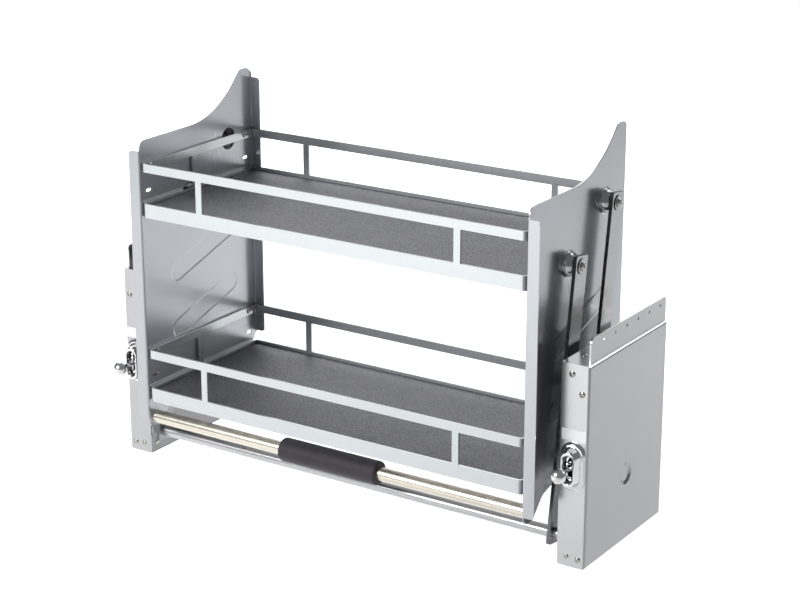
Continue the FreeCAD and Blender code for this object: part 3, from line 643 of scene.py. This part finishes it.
for side, sg in SIDES:
    g = Geo()
    outer = eased([(40.0, 18.0, 0.0), (38.9, 18.0, 0.7), (36.6, 15.3, 0.7), (36.2, 12.9, 1.2), (24.4, 10.3, 1.1),
                   (24.4, 7.9, 0.9), (28.0, 7.0, 1.5), (33.5, 6.3, 1.4), (34.6, 4.5, 0.4), (40.0, 4.4, 0.0)], closed=False, n=6)
    rings = []
    for y, r in outer:
        lim = min(max((r - 4.4) / (10.3 - 4.4), 0.0), 1.0)
        half = 9.0 + 4.6 * lim if r <= 10.3 else 13.6 + 2.0 * min((r - 10.3) / 6.0, 1.0)
        rings.append(stadium(y, r, half))
    g.rings(rings, closed=True)
    g.lathe("x", (SWX - 8.0, 48.5, SWZ), eased([(0, 1.6, 0), (0.4, 2.0, 0), (15.6, 2.0, 0), (16.0, 1.6, 0)], False), 32)
    for x0 in (SWX - 8.0, SWX + 4.0):
        g.box(x0, x0 + 4.0, 40.0, 54.0, SWZ - 7, SWZ + 7)
    g.moved(sg, 0, 0, 0)
    piece(side + "_switch_escutcheon", g, M["switch"], "frame", (side + "_switch_base",), angle=38.0)

    g = Geo()
    # knob: full round front, shallow back; neck and hub belong to the lever
    prof = []
    for k in range(19):
        a = math.radians(90.0 * k / 18)
        prof.append((-10.35 * math.cos(a) + 0.0, 10.35 * math.sin(a)))
    prof += [(0.5, 10.2), (1.0, 9.9), (2.6, 7.6), (4.2, 5.4), (5.0, 4.4), (5.0, 2.9)]
    g.lathe("y", (SWX, 2.0, SWZ), prof, 56)
    g.moved(sg, 0, 0, 0)
    piece(side + "_switch_knob", g, M["ball"], side + "_switch", (side + "_switch_ball",), angle=50.0)

    g = Geo()
    g.lathe("y", (SWX, 0.0, SWZ), [(5.0, 2.6), (5.0, 4.2), (7.2, 3.7), (10.5, 3.25), (18.0, 3.2), (30.0, 3.4),
                                   (42.0, 3.55), (44.5, 3.5)], 40)
    g.lathe("x", (SWX - 3.6, 48.5, SWZ), eased([(0.0, 5.5, 0.4), (7.2, 5.5, 0.4), (7.2, 2.05, 0), (0.0, 2.05, 0)]), 40,
            closed=True)
    g.moved(sg, 0, 0, 0)
    piece(side + "_switch_lever_turned", g, M["switch"], side + "_switch", (side + "_switch_lever",))

# ------------------------------------------------------------------ screws of the casings
CASE_SCREWS = ((357.0, 266.0, 4.2), (372.0, 241.0, 4.2), (371.5, 12.0, 4.2), (355.0, 13.5, 3.4))
for side, sg in SIDES:
    g = Geo()
    for i, (x, z, r) in enumerate(CASE_SCREWS):
        screw_head(g, "y", -1, x, 40.0, z, r, 2.2 if r > 4 else 1.8, TURNS[i] * sg)
        g.lathe("y", (x, 40.0, z), eased([(0.0, 1.95, 0), (6.5, 1.95, 0), (8.0, 0.6, 0)], False), 20)
    screw_head(g, "z", 1, 355.0, 75.0, CASE_H, 4.2, 2.2, 50)
    g.lathe("z", (355.0, 75.0, CASE_H - 8), eased([(0.0, 0.6, 0), (1.5, 1.95, 0), (8.0, 1.95, 0)], False), 20)
    xf = CASE_IN + 0.5
    rivet = [(5.0, 1.9)] + [(0.0, 1.9), (0.0, 3.6)]
    for k in range(9):
        a = math.radians(90.0 * k / 8)
        rivet.append((-1.55 * math.sin(a), 3.6 * math.cos(a)))
    g.lathe("x", (xf, 54.0, 13.5), rivet, 32)
    g.moved(sg, 0, 0, 0)
    piece(side + "_casing_screw_set", g, M["screw"], "frame", (side + "_casing_screws",))

# ------------------------------------------------------------------ axles, bushes and buffers
for side, sg in SIDES:
    g = Geo()
    y, z = LOW_FRONT
    g.lathe("x", (0, y, z), eased([(ARM_X0, 6.0, 0), (ARM_X0 + 0.6, 7.0, 0), (348.0, 7.0, 0), (348.0, 9.0, 0.3),
                                   (350.0, 9.0, 0.3), (350.0, 7.0, 0), (375.2, 7.0, 0), (376.0, 6.0, 0)], False), 56)
    piece(side + "_front_axle_turned", g.moved(sg, 0, 0, 0), M["plated"], "front_arms", (side + "_front_axle",))
    g = Geo()
    y, z = LOW_REAR
    g.lathe("x", (0, y, z), eased([(ARM_X0, 6.0, 0), (ARM_X0 + 0.6, 7.0, 0), (376.7, 7.0, 0), (377.5, 6.0, 0)], False), 56)
    piece(side + "_rear_axle_turned", g.moved(sg, 0, 0, 0), M["plated"], "rear_arms", (side + "_rear_axle",))
    g = Geo()
    for y, z in (LOW_FRONT, LOW_REAR):
        g.lathe("x", (CASE_IN + 0.5, y, z), eased([(-2.2, 7.05, 0.3), (-2.2, 13.0, 0.6), (0.0, 13.0, 0.2), (0.0, 10.0, 0),
                                                   (4.0, 10.0, 0.3), (4.0, 7.05, 0.3)]), 56, closed=True)
    piece(side + "_flanged_bushes", g.moved(sg, 0, 0, 0), M["bush"], "frame", (side + "_axle_bushes",))
    g = Geo()
    lo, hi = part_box(side + "_stop_buffer")
    sy, sz = (lo.y + hi.y) / 2 * 1000 + MID_Y * 1000, (lo.z + hi.z) / 2 * 1000
    g.lathe("x", (0, sy, sz), eased([(ARM_X0 + 1.0, 5.6, 0), (ARM_X0 + 1.0, 7.0, 1.2), (CASE_IN - 1.5, 7.0, 0.5),
                                     (CASE_IN - 1.5, 6.4, 0.2), (CASE_IN + 0.5, 6.4, 0.2), (CASE_IN + 0.5, 3.0, 0),
                                     (CASE_IN + 2.5, 3.0, 0)], False), 48)
    piece(side + "_rubber_buffer", g.moved(sg, 0, 0, 0), M["buffer"], "frame", (side + "_stop_buffer",))

# ------------------------------------------------------------------ springs as wound wire
PIN = (LOW_REAR[0] + 30.0 * math.cos(math.radians(100.0)), LOW_REAR[1] + 30.0 * math.sin(math.radians(100.0)))
ANCHOR = (226.0, 250.0)
for side, sg in SIDES:
    g = Geo()
    ly, lz = ANCHOR[0] - PIN[0], ANCHOR[1] - PIN[1]
    length = math.hypot(ly, lz)
    ey, ez = ly / length, lz / length
    for x in (350.5, 366.0):
        def place(a, b, s, x=x):
            """a across in x, b across in the YZ plane, s along the spring."""
            return (x + a, PIN[0] + ey * s + ez * b, PIN[1] + ez * s - ey * b)
        lo, hi, wire, mean = 14.0, length - 14.0, 0.9, 4.5
        path = []
        for k in range(-9, 15):                      # hook round the crank pin
            a = math.radians(-90 + 12.0 * k)
            path.append(place(0.0, 4.2 * math.cos(a), 4.2 * math.sin(a)))
        path += [place(0.0, -2.0, 8.0), place(0.6, 0.4, 11.5)]
        turns = int((hi - lo) / 2.0)
        for k in range(turns * 14 + 1):
            a = 2 * math.pi * k / 14
            path.append(place(mean * math.sin(a), mean * math.cos(a), lo + (hi - lo) * k / (turns * 14.0)))
        path += [place(0.6, 1.2, hi + 2.5), place(0.0, -2.0, hi + 6.0)]
        for k in range(-14, 10):                     # hook round the fixed pin
            a = math.radians(90 + 12.0 * -k)
            path.append(place(0.0, 3.9 * math.cos(math.pi - a), length + 3.9 * math.sin(math.pi - a)))
        g.sweep(path, wire, 8)
    piece(side + "_wound_springs", g.moved(sg, 0, 0, 0), M["spring"], "frame", (side + "_springs",), angle=80.0)

# ------------------------------------------------------------------ tubes and grip
g = Geo()
y, z = LOW_FRONT
g.lathe("x", (0, y, z), eased([(-ARM_X0, 8.0, 0.3), (ARM_X0, 8.0, 0.3), (ARM_X0, 6.5, 0.2), (-ARM_X0, 6.5, 0.2)]),
        72, closed=True)
piece("sync_tube_drawn", g, M["sync"], "front_arms", ("sync_tube",))

HY, HZ = 16.0, 74.0
g = Geo()
g.lathe("x", (0, HY, HZ), eased([(-PANEL_IN + 0.3, 9.5, 0.3), (PANEL_IN - 0.3, 9.5, 0.3), (PANEL_IN - 0.3, 8.0, 0.2),
                                 (-PANEL_IN + 0.3, 8.0, 0.2)]), 80, closed=True)
piece("handle_tube_drawn", g, M["handle"], "basket", ("handle_tube",))

g = Geo()
prof = eased([(-80.0, 9.55, 0.0), (-80.0, 16.4, 2.4), (-76.0, 17.0, 3.0), (76.0, 17.0, 3.0), (80.0, 16.4, 2.4),
              (80.0, 9.55, 0.0)], n=6)
fine = []
for i in range(len(prof)):
    a, b = prof[i], prof[(i + 1) % len(prof)]
    fine.append(a)
    if abs(b[0] - a[0]) > 100 and a[1] > 12:
        fine += [(a[0] + (b[0] - a[0]) * k / 24.0, a[1] + (b[1] - a[1]) * k / 24.0) for k in range(1, 24)]
g.lathe("x", (0, HY, HZ), fine, 72, closed=True)
piece("handle_foam_sleeve", g, M["foam"], "basket", ("handle_grip",))

g = Geo()
for sg in (1, -1):
    h = Geo()
    screw_head(h, "x", 1, PANEL_IN + PANEL_T, HY, HZ, 5.0, 2.6, 28)
    h.lathe("x", (0, HY, HZ), eased([(PANEL_IN - 13, 1.2, 0), (PANEL_IN - 11.5, 2.4, 0), (PANEL_IN + PANEL_T, 2.4, 0)], False), 24)
    h.lathe("x", (0, HY, HZ), eased([(PANEL_IN - 14, 2.5, 0.2), (PANEL_IN - 14, 7.95, 0.6), (PANEL_IN - 0.2, 7.95, 0.2),
                                     (PANEL_IN - 0.2, 2.5, 0.2)]), 48, closed=True)
    h.moved(sg, 0, 0, 0)
    g.add(h.v, h.f)
piece("handle_fixing_set", g, M["screw"], "basket", ("handle_fixings",))

# ------------------------------------------------------------------ tray screws
for tray_name, z0 in TRAY_Z.items():
    g = Geo()
    n = 0
    for sg in (1, -1):
        for sy in (19.0, 235.0):
            h = Geo()
            z = z0 + 71.5
            xi = TRAY_HALF - BAR_T
            screw_head(h, "x", -1, xi, sy, z, 4.2, 2.2, TURNS[n])
            h.lathe("x", (0, sy, z), [(xi, 1.95), (PANEL_IN + PANEL_T, 1.95)], 24)
            h.lathe("x", (0, sy, z), eased([(TRAY_HALF, 4.2, 0.2), (PANEL_IN, 4.2, 0.2), (PANEL_IN, 2.1, 0.0),
                                            (TRAY_HALF, 2.1, 0.0)]), 40, closed=True)
            h.moved(sg, 0, 0, 0)
            g.add(h.v, h.f)
            n += 1
    piece(tray_name + "_tray_screw_set", g, M["screw"], "basket", (tray_name + "_tray_screws",))

# ------------------------------------------------------------------ bare labels on the casings' fronts
for side, sg in SIDES:
    g = Geo()
    xc, zc, hx, hz, r = 361.6, 183.6, 17.6, 7.6, 1.0
    ring = []
    for cx, cz, a0 in ((hx - r, hz - r, 0), (-hx + r, hz - r, 90), (-hx + r, -hz + r, 180), (hx - r, -hz + r, 270)):
        for k in range(7):
            a = math.radians(a0 + 15 * k)
            ring.append((xc + cx + r * math.cos(a), zc + cz + r * math.sin(a)))
    g.rings([[(x, 39.995, z) for x, z in ring], [(x, 39.75, z) for x, z in ring]])
    piece(side + "_bare_label", g.moved(sg, 0, 0, 0), M["label"], "frame")

# ------------------------------------------------------------------ stage
FLOOR_Z = -0.352
bpy.ops.mesh.primitive_plane_add(size=24.0, location=(0, 0, FLOOR_Z))
floor = bpy.context.object
floor.name = "studio_floor"
fm, fnt, fb = new_mat("studio_paper")
fb.inputs["Base Color"].default_value = (0.92, 0.92, 0.92, 1)
fb.inputs["Roughness"].default_value = 0.9
floor.data.materials.append(fm)

world = bpy.data.worlds.new("studio")
scene.world = world
world.use_nodes = True
bg = world.node_tree.nodes["Background"]
bg.inputs["Color"].default_value = (0.90, 0.95, 1.0, 1)
bg.inputs["Strength"].default_value = 0.21


def area(name, loc, target, size, power, color=(1, 1, 1), spread=180.0):
    d = bpy.data.lights.new(name, "AREA")
    d.shape = "RECTANGLE"
    d.size, d.size_y = size
    d.energy = power
    d.color = color
    d.spread = math.radians(spread)
    o = bpy.data.objects.new(name, d)
    scene.collection.objects.link(o)
    o.location = loc
    o.rotation_euler = (Vector(target) - Vector(loc)).to_track_quat("-Z", "Y").to_euler()
    return o


area("key_front_left", (-1.4, -3.5, 2.2), (-0.95, -2.0, -0.35), (1.8, 1.8), 147)
area("back_floor", (-2.1, 3.4, 2.6), (-1.9, 2.8, -0.35), (4.4, 4.4), 212, spread=125.0)
area("back_left", (-2.2, 2.3, 1.6), (-0.15, 0.1, 0.25), (2.4, 1.4), 6)
area("back_right", (0.9, 3.4, 2.1), (0.1, 0.0, 0.25), (2.4, 1.0), 12)
area("back_floor_right", (2.4, 3.6, 2.2), (1.9, 2.9, -0.35), (2.0, 2.0), 34)

# ------------------------------------------------------------------ camera
cam_data = bpy.data.cameras.new("photo_camera")
cam = bpy.data.objects.new("photo_camera", cam_data)
scene.collection.objects.link(cam)
cam.location = (1.5056, -2.2340, 1.1631)
cam.rotation_euler = (math.radians(71.78), 0.0, math.radians(33.25))
cam_data.sensor_width = 36.0
cam_data.lens = 92.27
cam_data.clip_end = 60.0
cam_data.dof.use_dof = False
scene.camera = cam
scene.view_settings.view_transform = "Standard"
scene.view_settings.look = "None"
scene.view_settings.exposure = 0.0
